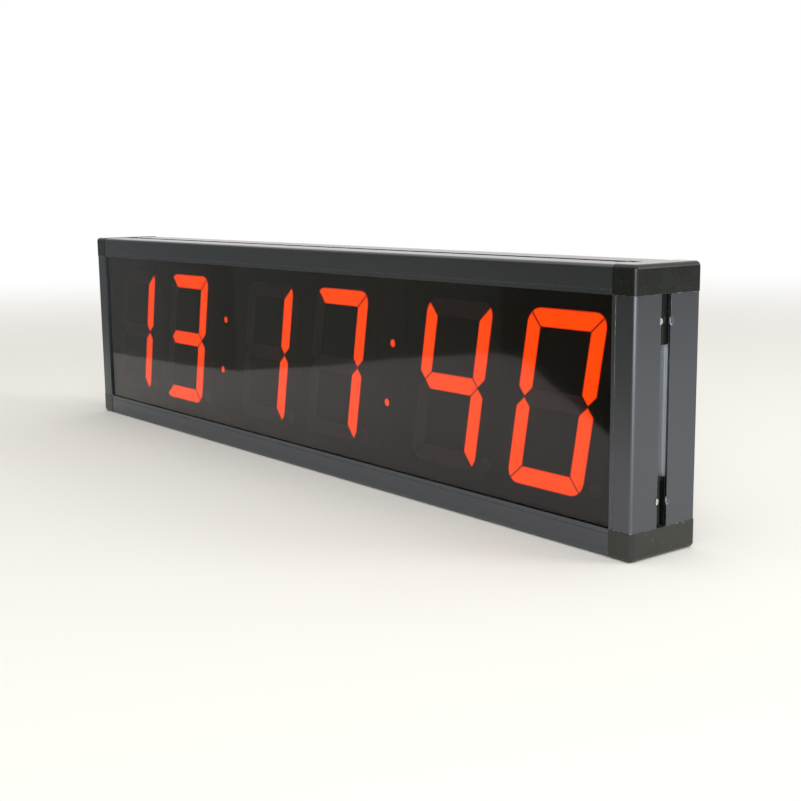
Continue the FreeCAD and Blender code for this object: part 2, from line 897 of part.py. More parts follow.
def build_rear_cover():
    """The flat cover with its keyholes, vents and holes, and the screws round its edge."""
    plate = block(-half_width + cover_edge, half_width - cover_edge, cover_front, cover_back,
                  cover_edge, overall_height - cover_edge)
    cutters = vents()
    for sign in (-1, 1):
        cutters.append(keyhole(sign * keyhole_spacing / 2))
    front = cover_front - beyond
    back = cover_back + beyond
    cutters.append(bay_box(bay_wall + bay_clearance, front, back))
    for x, z in bay_screw_places():
        cutters.append(rod(x, front, back, z, screw_radius + screw_thread_clearance))
    for x, z in button_places():
        cutters.append(rod(x, front, back, z, button_radius + button_clearance))
    screws = []
    drop = cap_proud + cover_screw_drop
    for x in cover_screw_places():
        for z in (drop, overall_height - drop):
            cutters.append(rod(x, front, back, z, screw_radius + screw_clearance))
            screws.append(screw(x, z, cover_back))
    save("rear_cover", plate.cut(cutters))
    save("cover_screws", Part.makeCompound(screws))


def main():
    os.makedirs("parts", exist_ok=True)
    build_frame()
    build_caps()
    build_front_panel()
    build_digits()
    build_colons()
    build_display_boards()
    build_main_board()
    build_components()
    build_buttons()
    build_power_jack()
    build_connector_bay()
    build_rear_cover()
    print("overall size %.1f x %.1f x %.1f" % (overall_width, overall_depth, overall_height))


main()
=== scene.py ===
import math
import random

import bmesh
import bpy
from mathutils import Matrix, Vector


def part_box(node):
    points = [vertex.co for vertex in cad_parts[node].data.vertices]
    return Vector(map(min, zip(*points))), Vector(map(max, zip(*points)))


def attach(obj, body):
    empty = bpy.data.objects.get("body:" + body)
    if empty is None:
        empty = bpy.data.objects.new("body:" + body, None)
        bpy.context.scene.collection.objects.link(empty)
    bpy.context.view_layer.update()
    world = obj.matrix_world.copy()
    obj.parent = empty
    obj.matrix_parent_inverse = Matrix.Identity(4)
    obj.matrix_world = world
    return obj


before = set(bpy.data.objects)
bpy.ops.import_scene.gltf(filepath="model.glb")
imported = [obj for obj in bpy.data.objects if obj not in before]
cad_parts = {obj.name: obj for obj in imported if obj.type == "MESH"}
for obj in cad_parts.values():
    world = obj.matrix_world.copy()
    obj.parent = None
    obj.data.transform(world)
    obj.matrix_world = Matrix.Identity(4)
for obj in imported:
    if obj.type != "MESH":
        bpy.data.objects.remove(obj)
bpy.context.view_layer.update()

bl_info = {
    "name": "Six-digit wall clock",
    "version": (1, 0, 0),
    "blender": (4, 5, 0),
    "location": "3D View > Sidebar > Wall Clock",
    "description": "Finishes, small parts and a studio for a large six-digit LED clock",
    "category": "Object",
}

MM = 0.001
CASE = "case"
DIGITS = range(1, 7)
COLONS = (1, 2)
PAIRS = ("hours", "minutes", "seconds")
BUTTONS = ("set", "up", "down")
RAILS = ("top_rail", "bottom_rail")
STILES = ("left_stile", "right_stile")
CAPS = [f"corner_cap_{level}_{side}" for level in ("top", "bottom") for side in ("left", "right")]

# The values between which nearly all of the noise lies
NOISE_LOW, NOISE_HIGH = 0.3, 0.7
# How far a broken edge's normal agrees with the flat one where its mask starts and is full
EDGE_STARTS, EDGE_FULL = 0.97, 0.85
# Share of the cells that hold no speck
EMPTY_CELLS = 0.72
# Shares of a colour that its clouding reaches
FILM_TONES, CAP_TONE, COAT_TONES, DARK_TONE = (0.96, 1.04), 1.15, (0.94, 1.0), 0.85
# Where the wear and painted highlight of an edge start: the further below 0, the more of the edge
# stays whole
FILM_WEAR_AND_HIGHLIGHT_STARTS, CAP_WEAR_AND_HIGHLIGHT_STARTS = -0.2, -0.4
# How far the roughness of a finish wanders from its own value
FILM_SPREAD, CAP_SPREAD, PLASTIC_SPREAD, METAL_SPREAD = 0.02, 0.06, 0.05, 0.08
# Lowest and highest roughness of the finishes that have no value of their own
KEY_ROUGHNESS, INK_ROUGHNESS = (0.12, 0.2), (0.5, 0.62)
COAT_ROUGHNESS, BOARD_ROUGHNESS = (0.42, 0.55), (0.28, 0.38)
# Share by which the panel's roughness and a segment's glow wander
PANEL_SPREAD, GLOW_SPREAD = 0.15, 0.05
# Roughness, and the size and depth of the marks in millimetres, drawn coarse enough to show
MARKS = {
    "cut_aluminium": (0.35, 0.5, 0.01),
    "screen_print": (0.6, 0.4, 0.002),
    "moulded_abs_bay": (0.45, 0.7, 0.015),
    "moulded_abs_button": (0.42, 0.5, 0.006),
    "moulded_pbt_jack": (0.4, 0.6, 0.008),
    "moulded_pbt_header": (0.4, 0.6, 0.008),
    "moulded_pbt_part": (0.45, 0.6, 0.01),
    "moulded_epoxy_package": (0.5, 0.4, 0.006),
    "pressed_ferrite": (0.6, 0.3, 0.01),
    "glazed_resistor": (0.3, 0.3, 0.002),
    "nickel_plated_pin": (0.25, 0.6, 0.002),
    "nickel_plated_steel": (0.25, 1.2, 0.002),
    "zinc_plated_steel": (0.32, 0.8, 0.004),
    "gold_flashed_pin": (0.3, 0.5, 0.002),
    "drawn_aluminium_can": (0.3, 1.0, 0.003),
    "solder": (0.28, 0.5, 0.004),
    "tinned_leg": (0.3, 0.5, 0.002),
    "tinned_end": (0.35, 0.3, 0.002),
}


# Colours, nodes and meshes

def linear(hex_colour):
    """An sRGB colour, such as 3A3C40, as linear red, green and blue."""
    shares = [int(hex_colour[i:i + 2], 16) / 255 for i in (0, 2, 4)]
    return [s / 12.92 if s <= 0.04045 else ((s + 0.055) / 1.055) ** 2.4 for s in shares]


def toned(colour, factor):
    """A linear colour made darker or lighter."""
    return [factor * c for c in colour]


def add_node(place, kind, **values):
    """Adds a shader node to a tree, or to the tree that a node or socket stands in.

    A value is one of the node's settings, or goes to its input of that name."""
    node = place.id_data.nodes.new("ShaderNode" + kind)
    for key in [key for key in values if hasattr(node, key)]:
        setattr(node, key, values.pop(key))
    put(node, **values)
    return node


def put(node, **values):
    """Gives inputs of a node their values, or links them to sockets or to other nodes.

    In the name of an input, _ stands for a space."""
    for key, value in values.items():
        target = next(s for s in node.inputs
                      if key == s.identifier or key.replace("_", " ") == s.name)
        if isinstance(value, bpy.types.Node):
            value = next(s for s in value.outputs if s.enabled)
        if isinstance(value, bpy.types.NodeSocket):
            node.id_data.links.new(value, target)
        elif hasattr(value, "__len__") and len(value) == 3 and target.type == "RGBA":
            target.default_value = (*value, 1.0)
        else:
            target.default_value = value


def new_surface(name, **values):
    """A material, its shader, and the place on the object that patterns follow."""
    material = bpy.data.materials.new(name)
    material.use_nodes = True
    shader = material.node_tree.nodes["Principled BSDF"]
    put(shader, **values)
    return material, shader, add_node(shader, "TexCoord").outputs["Object"]


def patches(place, size, low=0.0, high=1.0, stretch=(1, 1, 1), detail=2.0):
    """A soft random pattern of this size that runs between two values."""
    scaled = add_node(place, "VectorMath", operation="MULTIPLY", Vector=place,
                      Vector_001=[s / size for s in stretch])
    noise = add_node(place, "TexNoise", Vector=scaled, Scale=1.0, Detail=detail)
    return add_node(place, "MapRange", Value=noise, From_Min=NOISE_LOW, From_Max=NOISE_HIGH,
                    To_Min=low, To_Max=high)


def mark_surface(shader, place, size, depth, low, high, **under):
    """Roughness that wanders between two values, and marks of the same size.

    The marks lie over the normal of broken edges where one is given."""
    put(shader, Roughness=patches(place, size, low, high), Normal=add_node(
        place, "Bump", Height=patches(place, size), Distance=depth, **under))


def rounded(place, radius):
    """The normal of edges that are broken by this radius, and a mask of those edges."""
    bevel = add_node(place, "Bevel", Radius=radius)
    flat = add_node(place, "NewGeometry").outputs["Normal"]
    turn = add_node(place, "VectorMath", operation="DOT_PRODUCT", Vector=bevel, Vector_001=flat)
    return bevel, add_node(place, "MapRange", Value=turn.outputs["Value"], From_Min=EDGE_STARTS,
                           From_Max=EDGE_FULL)


def specks(place, pitch, size):
    """A mask of small round grains, one at most in each cell of the pitch."""
    cells = add_node(place, "TexVoronoi", Vector=place, Scale=1 / pitch)
    pick = add_node(place, "SeparateColor", Color=cells.outputs["Color"])
    reach = add_node(place, "MapRange", Value=pick.outputs["Red"], From_Min=EMPTY_CELLS,
                     To_Max=size / pitch)
    return add_node(place, "Math", operation="LESS_THAN", Value=cells.outputs["Distance"],
                    Value_001=reach)


def cover_nodes(names, material):
    """Gives CAD nodes a material in place of their plain one."""
    for name in names:
        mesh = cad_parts[name].data
        mesh.materials.clear()
        mesh.materials.append(material)
        for face in mesh.polygons:
            face.material_index = 0


def add_object(name, data):
    """Puts a mesh, a lamp or a camera into the scene."""
    thing = bpy.data.objects.new(name, data)
    bpy.context.scene.collection.objects.link(thing)
    return thing


def mesh_data(name, mesh, materials):
    """Turns a finished bmesh into mesh data."""
    data = bpy.data.meshes.new(name)
    mesh.to_mesh(data)
    mesh.free()
    for material in materials:
        data.materials.append(material)
    return data


def add_piece(name, mesh, materials, body=CASE):
    """Turns a finished bmesh into a piece that rides on a body."""
    bmesh.ops.recalc_face_normals(mesh, faces=mesh.faces)
    piece = add_object(name, mesh_data(name, mesh, materials))
    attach(piece, body)


def add_block(mesh, low, high, material=0):
    """A box between two corners."""
    size = Vector(high) - Vector(low)
    middle = (Vector(high) + Vector(low)) / 2
    for vertex in bmesh.ops.create_cube(mesh, size=1.0)["verts"]:
        vertex.co = Vector(a * b for a, b in zip(vertex.co, size)) + middle
        for face in vertex.link_faces:
            face.material_index = material


def add_band(mesh, first, second, smooth=False):
    """Faces between two rings of the same count."""
    for i, corner in enumerate(first):
        j = (i + 1) % len(first)
        mesh.faces.new((corner, first[j], second[j], second[i])).smooth = smooth


def add_prism(mesh, outline, y_front, y_back):
    """A closed outline in the XZ plane, made solid between two Y."""
    front, back = ([mesh.verts.new((x, y, z)) for x, z in outline] for y in (y_front, y_back))
    mesh.faces.new(front)
    mesh.faces.new(back[::-1])
    add_band(mesh, back, front)


def add_turned(mesh, centre, profile, sides):
    """A piece turned about the Y axis through centre; profile lists radius and Y."""
    angles = [2 * math.pi * i / sides for i in range(sides)]
    rings = [[mesh.verts.new((centre[0] + radius * math.cos(angle), y,
                              centre[1] + radius * math.sin(angle))) for angle in angles]
             for radius, y in profile]
    for inner, outer in zip(rings, rings[1:]):
        add_band(mesh, inner, outer, smooth=True)
    mesh.faces.new(rings[0])
    mesh.faces.new(rings[-1][::-1])


def middle_of(node):
    """The middle of a CAD node's box."""
    low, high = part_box(node)
    return (low + high) / 2


def solids_of(node):
    """Lowest and highest corner of each separate solid in a CAD node."""
    mesh = bmesh.new()
    mesh.from_mesh(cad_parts[node].data)
    bmesh.ops.remove_doubles(mesh, verts=mesh.verts, dist=1e-6)
    left = set(mesh.verts)
    boxes = []
    while left:
        solid = [left.pop()]
        for vertex in solid:
            near = {edge.other_vert(vertex) for edge in vertex.link_edges} & left
            left -= near
            solid.extend(near)
        boxes.append([Vector(end(v.co[i] for v in solid) for i in range(3)) for end in (min, max)])
    mesh.free()
    return sorted(boxes, key=lambda box: tuple(round(v, 5) for v in box[0]))


# Finishes

def anodised_aluminium(look, name, along):
    """Extruded aluminium, etched matt and anodised anthracite.

    The etch gives a soft sheen with a fine grain, and the die leaves faint lines lengthwise.
    The saw and the stakes cut through the film, so bare metal shows there. The pale line at each
    sawn end and the pale flecks on sharp edges are partly bare metal and partly a painted
    highlight.
    The groove's floor and walls are painted pale, a painted light for the light that falls into
    it."""
    material, shader, place = new_surface(name, Metallic=1.0)
    stretch = [look.die_line_stretch if axis == along else 1.0 for axis in range(3)]
    lines = patches(place, look.die_line_width, stretch=stretch)
    grain = patches(place, look.grain_size)
    middle = groove_middle(look)
    axes = add_node(place, "SeparateXYZ", Vector=folded_place(place, middle))
    outer = outer_corner(along) - middle
    # deep_down marks the groove, whose floor and walls are painted pale: painted light for the
    # light that falls into the groove
    deep_down = groove_mask(axes, outer, look, along)
    broken, edges = rounded(place, look.broken_edge)
    # Pale flecks on sharp edges: partly film rubbed bare, partly a painted highlight
    wear_and_highlight = add_node(place, "Math", operation="MULTIPLY", Value=edges,
                    Value_001=patches(place, look.fleck_size, FILM_WEAR_AND_HIGHLIGHT_STARTS,
                                      look.film_wear_and_highlight))
    # bare joins the stakes' scuffs, which are bare metal, with the sawn ends, which are partly
    # bare metal and partly a painted highlight
    bare = add_node(place, "Math", operation="MAXIMUM", Value=scuff_mask(place, look),
                    Value_001=sawn_end_and_highlight_mask(place, axes, outer, look, along))
    film, pale_film = (toned(look.profile_colour, tone) for tone in FILM_TONES)
    for mask, cover in ((grain, pale_film), (deep_down, look.groove_painted_light_colour),
                        (wear_and_highlight, look.bare_colour), (bare, look.bare_colour)):
        film = add_node(place, "Mix", data_type="RGBA", Factor_Float=mask, A_Color=film,
                        B_Color=cover)
    sheen = patches(place, look.die_line_width, look.profile_roughness - FILM_SPREAD,
                    look.profile_roughness + FILM_SPREAD, stretch)
    sheen = add_node(place, "Mix", data_type="FLOAT", Factor_Float=deep_down, A_Float=sheen,
                     B_Float=look.groove_roughness)
    lined = add_node(place, "Bump", Height=lines, Distance=look.die_line_depth, Normal=broken)
    put(shader, Base_Color=film, Roughness=sheen, Normal=add_node(
        place, "Bump", Height=grain, Distance=look.grain_depth, Normal=lined))
    return material


def outer_corner(along):
    """The highest corner of the outermost profile of those that run this way."""
    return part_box("right_stile" if along == 2 else "top_rail")[1]


def groove_middle(look):
    """The point about which the frame and its groove are the same on all sides."""
    return Vector((0, (look.groove_front + look.groove_back) / 2, middle_of("right_stile").z))


def folded_place(place, middle):
    """The place with all quarters about a middle folded on one another."""
    from_middle = add_node(place, "VectorMath", operation="SUBTRACT", Vector=place,
                           Vector_001=middle)
    return add_node(place, "VectorMath", operation="ABSOLUTE", Vector=from_middle)


def groove_mask(axes, outer, look, along):
    """The floor and walls of the T-shaped groove, under its lips."""
    outward = 2 - along
    half_cavity = (look.groove_back - look.groove_front) / 2 + look.groove_undercut
    wide = add_node(axes, "Math", operation="COMPARE", Value=axes.outputs["Y"], Value_001=0.0,
                    Value_002=half_cavity)
    half_depth = (look.groove_depth - look.groove_lip) / 2
    deep = add_node(axes, "Math", operation="COMPARE", Value=axes.outputs["XYZ"[outward]],
                    Value_001=outer[outward] - look.groove_lip - half_depth,
                    Value_002=half_depth + look.broken_edge)
    return add_node(axes, "Math", operation="MULTIPLY", Value=wide, Value_001=deep)


def sawn_end_and_highlight_mask(place, axes, outer, look, along):
    """The burr that the saw leaves here and there at each end of a profile, painted pale: partly
    bare metal, partly a painted highlight of the end edge.
    """
    reach = patches(place, look.fleck_size, -0.5 * look.sawn_edge_and_highlight, look.sawn_edge_and_highlight)
    return add_node(place, "Math", operation="COMPARE", Value=axes.outputs["XYZ"[along]],
                    Value_001=outer[along], Value_002=reach)


def scuff_mask(place, look):
    """Where the staking tool has cut through the film, beside the groove near each corner.

    The tool stood a little nearer the back, and so pushed more of the front lip over."""
    middle = groove_middle(look)
    half_mouth = (look.groove_back - look.groove_front) / 2
    stile, rail = outer_corner(2), outer_corner(0)
    stakes = (
        Vector((stile.x, half_mouth, stile.z - middle.z - look.stake_from_cap)),
        Vector((rail.x - look.stake_from_cap, half_mouth, rail.z - middle.z)),
    )
    middle.y += look.stake_shift
    folded = folded_place(place, middle)
    distances = [add_node(place, "VectorMath", operation="DISTANCE", Vector=folded,
                          Vector_001=stake).outputs["Value"] for stake in stakes]
    nearest = add_node(place, "Math", operation="MINIMUM", Value=distances[0],
                       Value_001=distances[1])
    reach = look.scuff_radius
    ragged = patches(place, 0.5 * reach, 0.5 * reach, reach)
    return add_node(place, "Math", operation="LESS_THAN", Value=nearest, Value_001=ragged)


def moulded_nylon(look):
    """Glass-filled nylon, injection moulded: satin near-black with the mould's fine texture.

    Its outer edges are lighter in flecks, partly rubbed and partly a painted highlight. The lower
    caps carry most of the grains of dust, from being set down, and are painted lighter towards the
    bottom, a painted light from below."""
    material, shader, place = new_surface(
        "moulded_nylon", IOR=look.cap_ior, Specular_IOR_Level=look.cap_gloss)
    cloud = patches(place, look.cap_cloud_size)
    height = add_node(place, "SeparateXYZ", Vector=place).outputs["Z"]
    # low_down paints the lower caps lighter towards the bottom, a painted light from below, and
    # also settles the dust there
    low_down = add_node(place, "MapRange", Value=height, From_Min=0.5 * outer_corner(0).z,
                        From_Max=0.0)
    broken, edges = rounded(place, look.cap_edge)
    # Pale flecks on the caps' edges: partly rubbed nylon, partly a painted highlight
    wear_and_highlight = add_node(place, "Math", operation="MULTIPLY", Value=edges,
                    Value_001=patches(place, look.fleck_size, CAP_WEAR_AND_HIGHLIGHT_STARTS,
                                      look.edge_wear_and_highlight))
    settled = add_node(place, "MapRange", Value=low_down, To_Min=look.dust_on_top)
    dust = add_node(place, "Math", operation="MULTIPLY", Value=settled,
                    Value_001=specks(place, look.dust_pitch, look.dust_size))
    body = look.cap_colour
    for mask, cover in ((cloud, toned(look.cap_colour, CAP_TONE)), (low_down, look.lower_cap_painted_light_colour),
                        (wear_and_highlight, look.rubbed_and_highlight_colour), (dust, look.dust_colour)):
        body = add_node(place, "Mix", data_type="RGBA", Factor_Float=mask, A_Color=body,
                        B_Color=cover)
    sheen = patches(place, look.cap_cloud_size, look.cap_roughness,
                    look.cap_roughness + CAP_SPREAD)
    grain = patches(place, look.cap_texture_size)
    put(shader, Base_Color=body, Roughness=sheen, Normal=add_node(
        place, "Bump", Height=grain, Distance=look.cap_texture_depth, Normal=broken))
    return material


def polished_nylon(look):
    """The same nylon on the keys, where the mould was polished so that they slide in.

    Its specular level is kept low, a painted shade for the groove it lies in, so it looks black,
    with a few grains of dust."""
    material, shader, place = new_surface(
        "polished_nylon", IOR=look.cap_ior, Specular_IOR_Level=look.key_gloss_painted_shade)
    dust = specks(place, look.dust_pitch, 0.7 * look.dust_size)
    put(shader, Roughness=patches(place, look.cap_texture_size, *KEY_ROUGHNESS),
        Base_Color=add_node(place, "Mix", data_type="RGBA", Factor_Float=dust,
                            A_Color=look.cap_colour, B_Color=look.dust_colour))
    return material


def smoked_acrylic(look):
    """Cast acrylic, smoked: a polished face that shows the room, and passes so little light
    that only the lit segments stand out and the rest sinks into black."""
    material, shader, place = new_surface(
        "smoked_acrylic", Base_Color=look.panel_tint, Transmission_Weight=1.0,
        IOR=look.panel_ior)
    put(shader, Roughness=patches(
        place, look.wipe_mark_size, (1 - PANEL_SPREAD) * look.panel_roughness,
        (1 + PANEL_SPREAD) * look.panel_roughness, (1.0, 1.0, 3.0)))
    return material


def inked_face(look):
    """The black face of a digit module: matt ink on a moulded shell, with a faint grain."""
    material, shader, place = new_surface(
        "inked_digit_face", Base_Color=look.shell_colour, IOR=1.5)
    mark_surface(shader, place, look.face_grain_size, look.face_grain_depth, *INK_ROUGHNESS)
    return material


def lit_diffuser(look, name, strength):
    """Milky epoxy with red light-emitting chips behind it: an even glow with soft hot spots,
    orange in the middle of a stroke and redder at its rim, where the light has further to go."""
    material, shader, place = new_surface(
        name, Base_Color=look.lit_body_colour, Roughness=0.5, IOR=1.55)
    rim = rounded(place, look.lit_edge)[1]
    glow = add_node(place, "Mix", data_type="RGBA", Factor_Float=rim, A_Color=look.lit_colour,
                    B_Color=look.lit_edge_colour)
    dimmed = add_node(place, "MapRange", Value=rim, To_Min=1.0, To_Max=look.lit_edge_share)
    hot_spots = patches(place, look.chip_pitch, (1 - GLOW_SPREAD) * strength,
                        (1 + GLOW_SPREAD) * strength, detail=0.0)
    put(shader, Emission_Color=glow, Emission_Strength=add_node(
        place, "Math", operation="MULTIPLY", Value=dimmed, Value_001=hot_spots))
    return material


def dark_diffuser(look):
    """The same milky epoxy with its chips off: a pale grey that only just shows."""
    material, shader, place = new_surface("milky_epoxy", Roughness=0.5, IOR=1.55)
    put(shader, Base_Color=add_node(
        place, "Mix", data_type="RGBA", Factor_Float=patches(place, look.chip_pitch),
        A_Color=toned(look.diffuser_colour, DARK_TONE), B_Color=look.diffuser_colour))
    return material


def foam_rubber(look):
    """Closed-cell foam strip: dead black with small cut cells."""
    material, shader, place = new_surface(
        "foam_rubber", Base_Color=look.foam_colour, Roughness=0.95)
    cells = add_node(place, "TexVoronoi", Vector=place, Scale=1 / look.foam_cell)
    put(shader, Normal=add_node(
        place, "Bump", Height=cells.outputs["Distance"], Distance=0.2 * look.foam_cell))
    return material


def powder_coat(look):
    """Steel sheet, powder coated dark grey: low sheen with a fine orange-peel surface."""
    material, shader, place = new_surface("powder_coated_steel", IOR=1.5)
    put(shader, Base_Color=add_node(
        place, "VectorMath", operation="SCALE", Vector=list(look.cover_colour),
        Scale=patches(place, 20 * look.peel_size, *COAT_TONES)))
    mark_surface(shader, place, look.peel_size, look.peel_depth, *COAT_ROUGHNESS,
                 Normal=rounded(place, look.sheet_edge)[0])
    return material


def moulded_plastic(name, colour):
    """ABS or PBT, injection moulded: one even colour with a spark-eroded texture."""
    material, shader, place = new_surface(name, Base_Color=colour, IOR=1.54)
    rough, size, depth = MARKS[name]
    mark_surface(shader, place, size * MM, depth * MM, rough - PLASTIC_SPREAD,
                 rough + PLASTIC_SPREAD)
    return material


def plated_metal(name, colour):
    """Zinc, nickel or tin plate: bright metal, clouded and marked by handling."""
    material, shader, place = new_surface(name, Metallic=1.0)
    rough, size, depth = MARKS[name]
    put(shader, Base_Color=add_node(
        place, "Mix", data_type="RGBA", Factor_Float=patches(place, 4 * size * MM),
        A_Color=toned(colour, DARK_TONE), B_Color=colour))
    mark_surface(shader, place, size * MM, depth * MM, rough - METAL_SPREAD,
                 rough + METAL_SPREAD)
    return material


def circuit_board(look):
    """Glass-epoxy board under green solder mask: copper shows as paler, raised tracks in
    groups that run either way, with tinned holes between them."""
    material, shader, place = new_surface("solder_masked_board", IOR=1.5)
    pitch = look.track_pitch
    ways = []
    for turn in (0, math.pi / 2):
        flat = add_node(place, "Mapping", Vector=place, Rotation=(math.pi / 2, 0, turn),
                        Scale=[1 / pitch] * 3)
        ways.append(add_node(
            place, "TexBrick", Vector=flat, Scale=1.0, Mortar_Size=0.16, Mortar_Smooth=0.1,
            Brick_Width=40.0, Row_Height=1.0, offset=0.35).outputs["Fac"])
    copper = add_node(place, "Mix", data_type="FLOAT", A_Float=ways[0], B_Float=ways[1],
                      Factor_Float=patches(place, 16 * pitch, -4.0, 5.0))
    copper = add_node(place, "Math", operation="MULTIPLY", Value=copper,
                      Value_001=patches(place, 9 * pitch, -4.0, 4.0))
    holes = specks(place, 3 * pitch, 0.5 * pitch)
    board = look.mask_colour
    for mask, cover in ((copper, look.track_colour), (holes, look.hole_colour)):
        board = add_node(place, "Mix", data_type="RGBA", Factor_Float=mask, A_Color=board,
                         B_Color=cover)
    put(shader, Base_Color=board, Normal=add_node(
        place, "Bump", Height=copper, Distance=look.track_height),
        Roughness=patches(place, look.glass_weave, *BOARD_ROUGHNESS))
    return material


# Settings

def length(name, description, millimetres, lowest=0.0):
    """A length that the panel shows in the scene's units."""
    return bpy.props.FloatProperty(name=name, description=description, unit="LENGTH",
                                   default=millimetres * MM, min=lowest, precision=5)


def tint(name, description, hex_colour):
    """A colour that the panel shows as a swatch."""
    return bpy.props.FloatVectorProperty(name=name, description=description, subtype="COLOR",
                                         size=3, min=0.0, max=1.0, default=linear(hex_colour))


def share(name, description, value):
    """A plain number from 0 to 1."""
    return bpy.props.FloatProperty(name=name, description=description, subtype="FACTOR",
                                   default=value, min=0.0, max=1.0)


def amount(name, description, value, unit="NONE"):
    """A number that may pass 1, plain or in a unit."""
    return bpy.props.FloatProperty(name=name, description=description, default=value, min=0.0,
                                   unit=unit)


def degrees(name, description, value):
    """An angle, given in degrees."""
    return bpy.props.FloatProperty(name=name, description=description, subtype="ANGLE",
                                   default=math.radians(value))


class FrameLook(bpy.types.PropertyGroup):
    """Profiles, corner caps and the marks on them."""
    profile_colour: tint("Profile", "Anodised film", "606369")
    bare_colour: tint("Bare metal", "Metal without its film", "D9DBDB")
    profile_roughness: share("Profile roughness", "Etched and anodised satin", 0.34)
    die_line_width: length("Die lines", "Width of a die line, drawn coarse", 0.9)
    die_line_depth: length("Die line depth", "Depth of a die line", 0.004)
    die_line_stretch: share("Die line stretch", "Width of a die line over its length", 0.02)
    grain_size: length("Etch grain", "Grain of the etch, drawn coarse", 0.6)
    grain_depth: length("Etch depth", "Depth of the etch", 0.006)
    broken_edge: length("Broken edge", "Radius on the profiles' edges", 0.15)
    # Partly wear, partly painted highlight: how far sharp edges get pale flecks
    film_wear_and_highlight: share("Film wear", "How far sharp edges are rubbed bare", 0.8)
    groove_front: length("Groove front", "Y of the groove's front lip", -5.3, lowest=-1.0)
    groove_back: length("Groove back", "Y of the groove's back lip", 2.3, lowest=-1.0)
    groove_lip: length("Groove lip", "Thickness of the groove's lips", 1.6)
    groove_undercut: length("Groove undercut", "Width of the groove under a lip", 1.5)
    groove_depth: length("Groove depth", "From the outer face to its floor", 4.7)
    # Painted light: the groove is painted this pale colour for the light that falls into it and
    # bounces off its walls
    groove_painted_light_colour: tint("Groove", "Thin film in the groove", "B2B6BA")
    groove_roughness: share("Groove roughness", "Roughness in the groove", 0.5)
    # Partly bare metal, partly painted highlight: width of the pale line at each sawn end
    sawn_edge_and_highlight: length("Sawn edge", "Width of the bare sawn edge", 0.25)
    fleck_size: length("Flecks", "Length of a rubbed place", 1.6)
    scuff_radius: length("Scuff", "Reach of bare metal round a stake", 1.0)
    stake_from_cap: length("Stake", "From a corner cap to a stake", 14.0)
    stake_shift: length("Stake shift", "How far back the stakes stand", 0.5)
    front_tongue: length("Front tongue", "How far it is pushed over", 2.4)
    back_tongue: length("Back tongue", "How far it is pushed over", 0.4)
    tongue_width: length("Tongue width", "Width of a tongue", 3.6)
    tongue_lean: share("Tongue lean", "Slope of a tongue", 0.08)
    tongue_drop: length("Tongue drop", "Below the outer face", 0.45)
    tongue_root: length("Tongue root", "From a lip's edge into the lip", 0.1)
    cap_colour: tint("Caps", "Moulded corner caps", "101310")
    cap_gloss: share("Cap gloss", "Specular level of the nylon", 0.45)
    cap_ior: amount("Cap IOR", "Refraction of the nylon", 1.45)
    cap_roughness: share("Cap roughness", "Satin moulding", 0.24)
    cap_edge: length("Cap edge", "Radius on the caps' edges", 0.25)
    cap_texture_size: length("Cap texture", "Grain of the mould, drawn coarse", 0.5)
    cap_texture_depth: length("Cap texture depth", "Depth of the mould's grain", 0.002)
    cap_cloud_size: length("Cap clouding", "Slow change of tone", 9.0)
    # Painted shade: the keys' specular level is kept low for the shade of the groove
    key_gloss_painted_shade: share("Key gloss", "Specular level of the keys", 0.25)
    # Painted light: this colour makes the lower caps lighter towards the bottom
    lower_cap_painted_light_colour: tint("Haze", "Haze on the lower caps", "2C2D29")
    # Partly wear, partly painted highlight: the caps' edges are painted this pale colour in flecks
    rubbed_and_highlight_colour: tint("Rubbed edge", "Nylon that is rubbed", "B2B4B2")
    edge_wear_and_highlight: share("Edge wear", "How far the caps' edges are rubbed", 0.5)
    dust_colour: tint("Dust", "Grains on the caps", "9AA09A")
    dust_size: length("Dust size", "Largest grain of dust", 0.45)
    dust_pitch: length("Dust pitch", "Between grains of dust", 3.2)
    dust_on_top: share("Dust on top", "Of the dust on the lower caps", 0.12)


class DisplayLook(bpy.types.PropertyGroup):
    """The tinted panel and what shows through it."""
    panel_tint: tint("Panel tint", "Light that the panel passes", "7E6F73")
    panel_ior: amount("Panel IOR", "Refraction of the acrylic", 1.43)
    panel_roughness: share("Panel roughness", "Polish of the panel", 0.05)
    wipe_mark_size: length("Wipe marks", "Slow change in the polish", 35.0)
    shell_colour: tint("Digit face", "Inked face", "0E0E10")
    face_grain_size: length("Face grain", "Grain of the ink, drawn coarse", 3.0)
    face_grain_depth: length("Face grain depth", "Depth of the ink's grain", 0.004)
    diffuser_colour: tint("Diffuser", "Milky epoxy of the segments", "A9A4A6")
    lit_body_colour: tint("Lit body", "Epoxy that is lit through", "C8400A")
    lit_colour: tint("Lit", "Light in a segment's middle", "FF5000")
    lit_edge_colour: tint("Lit edge", "Light at a segment's rim", "FF1000")
    lit_edge: length("Lit rim", "Width of the redder rim", 1.6)
    lit_edge_share: share("Rim brightness", "Of the brightness in the middle", 0.4)
    lit_strength: amount("Lit strength", "Brightness of a lit segment", 5.4)
    lamp_strength: amount("Colon strength", "Brightness of the colon lamps", 5.2)
    chip_pitch: length("Chips", "Between the chips of a segment", 9.0)
    foam_colour: tint("Seal", "Foam behind the panel", "101010")
    foam_cell: length("Foam cell", "Cell of the foam", 0.4)


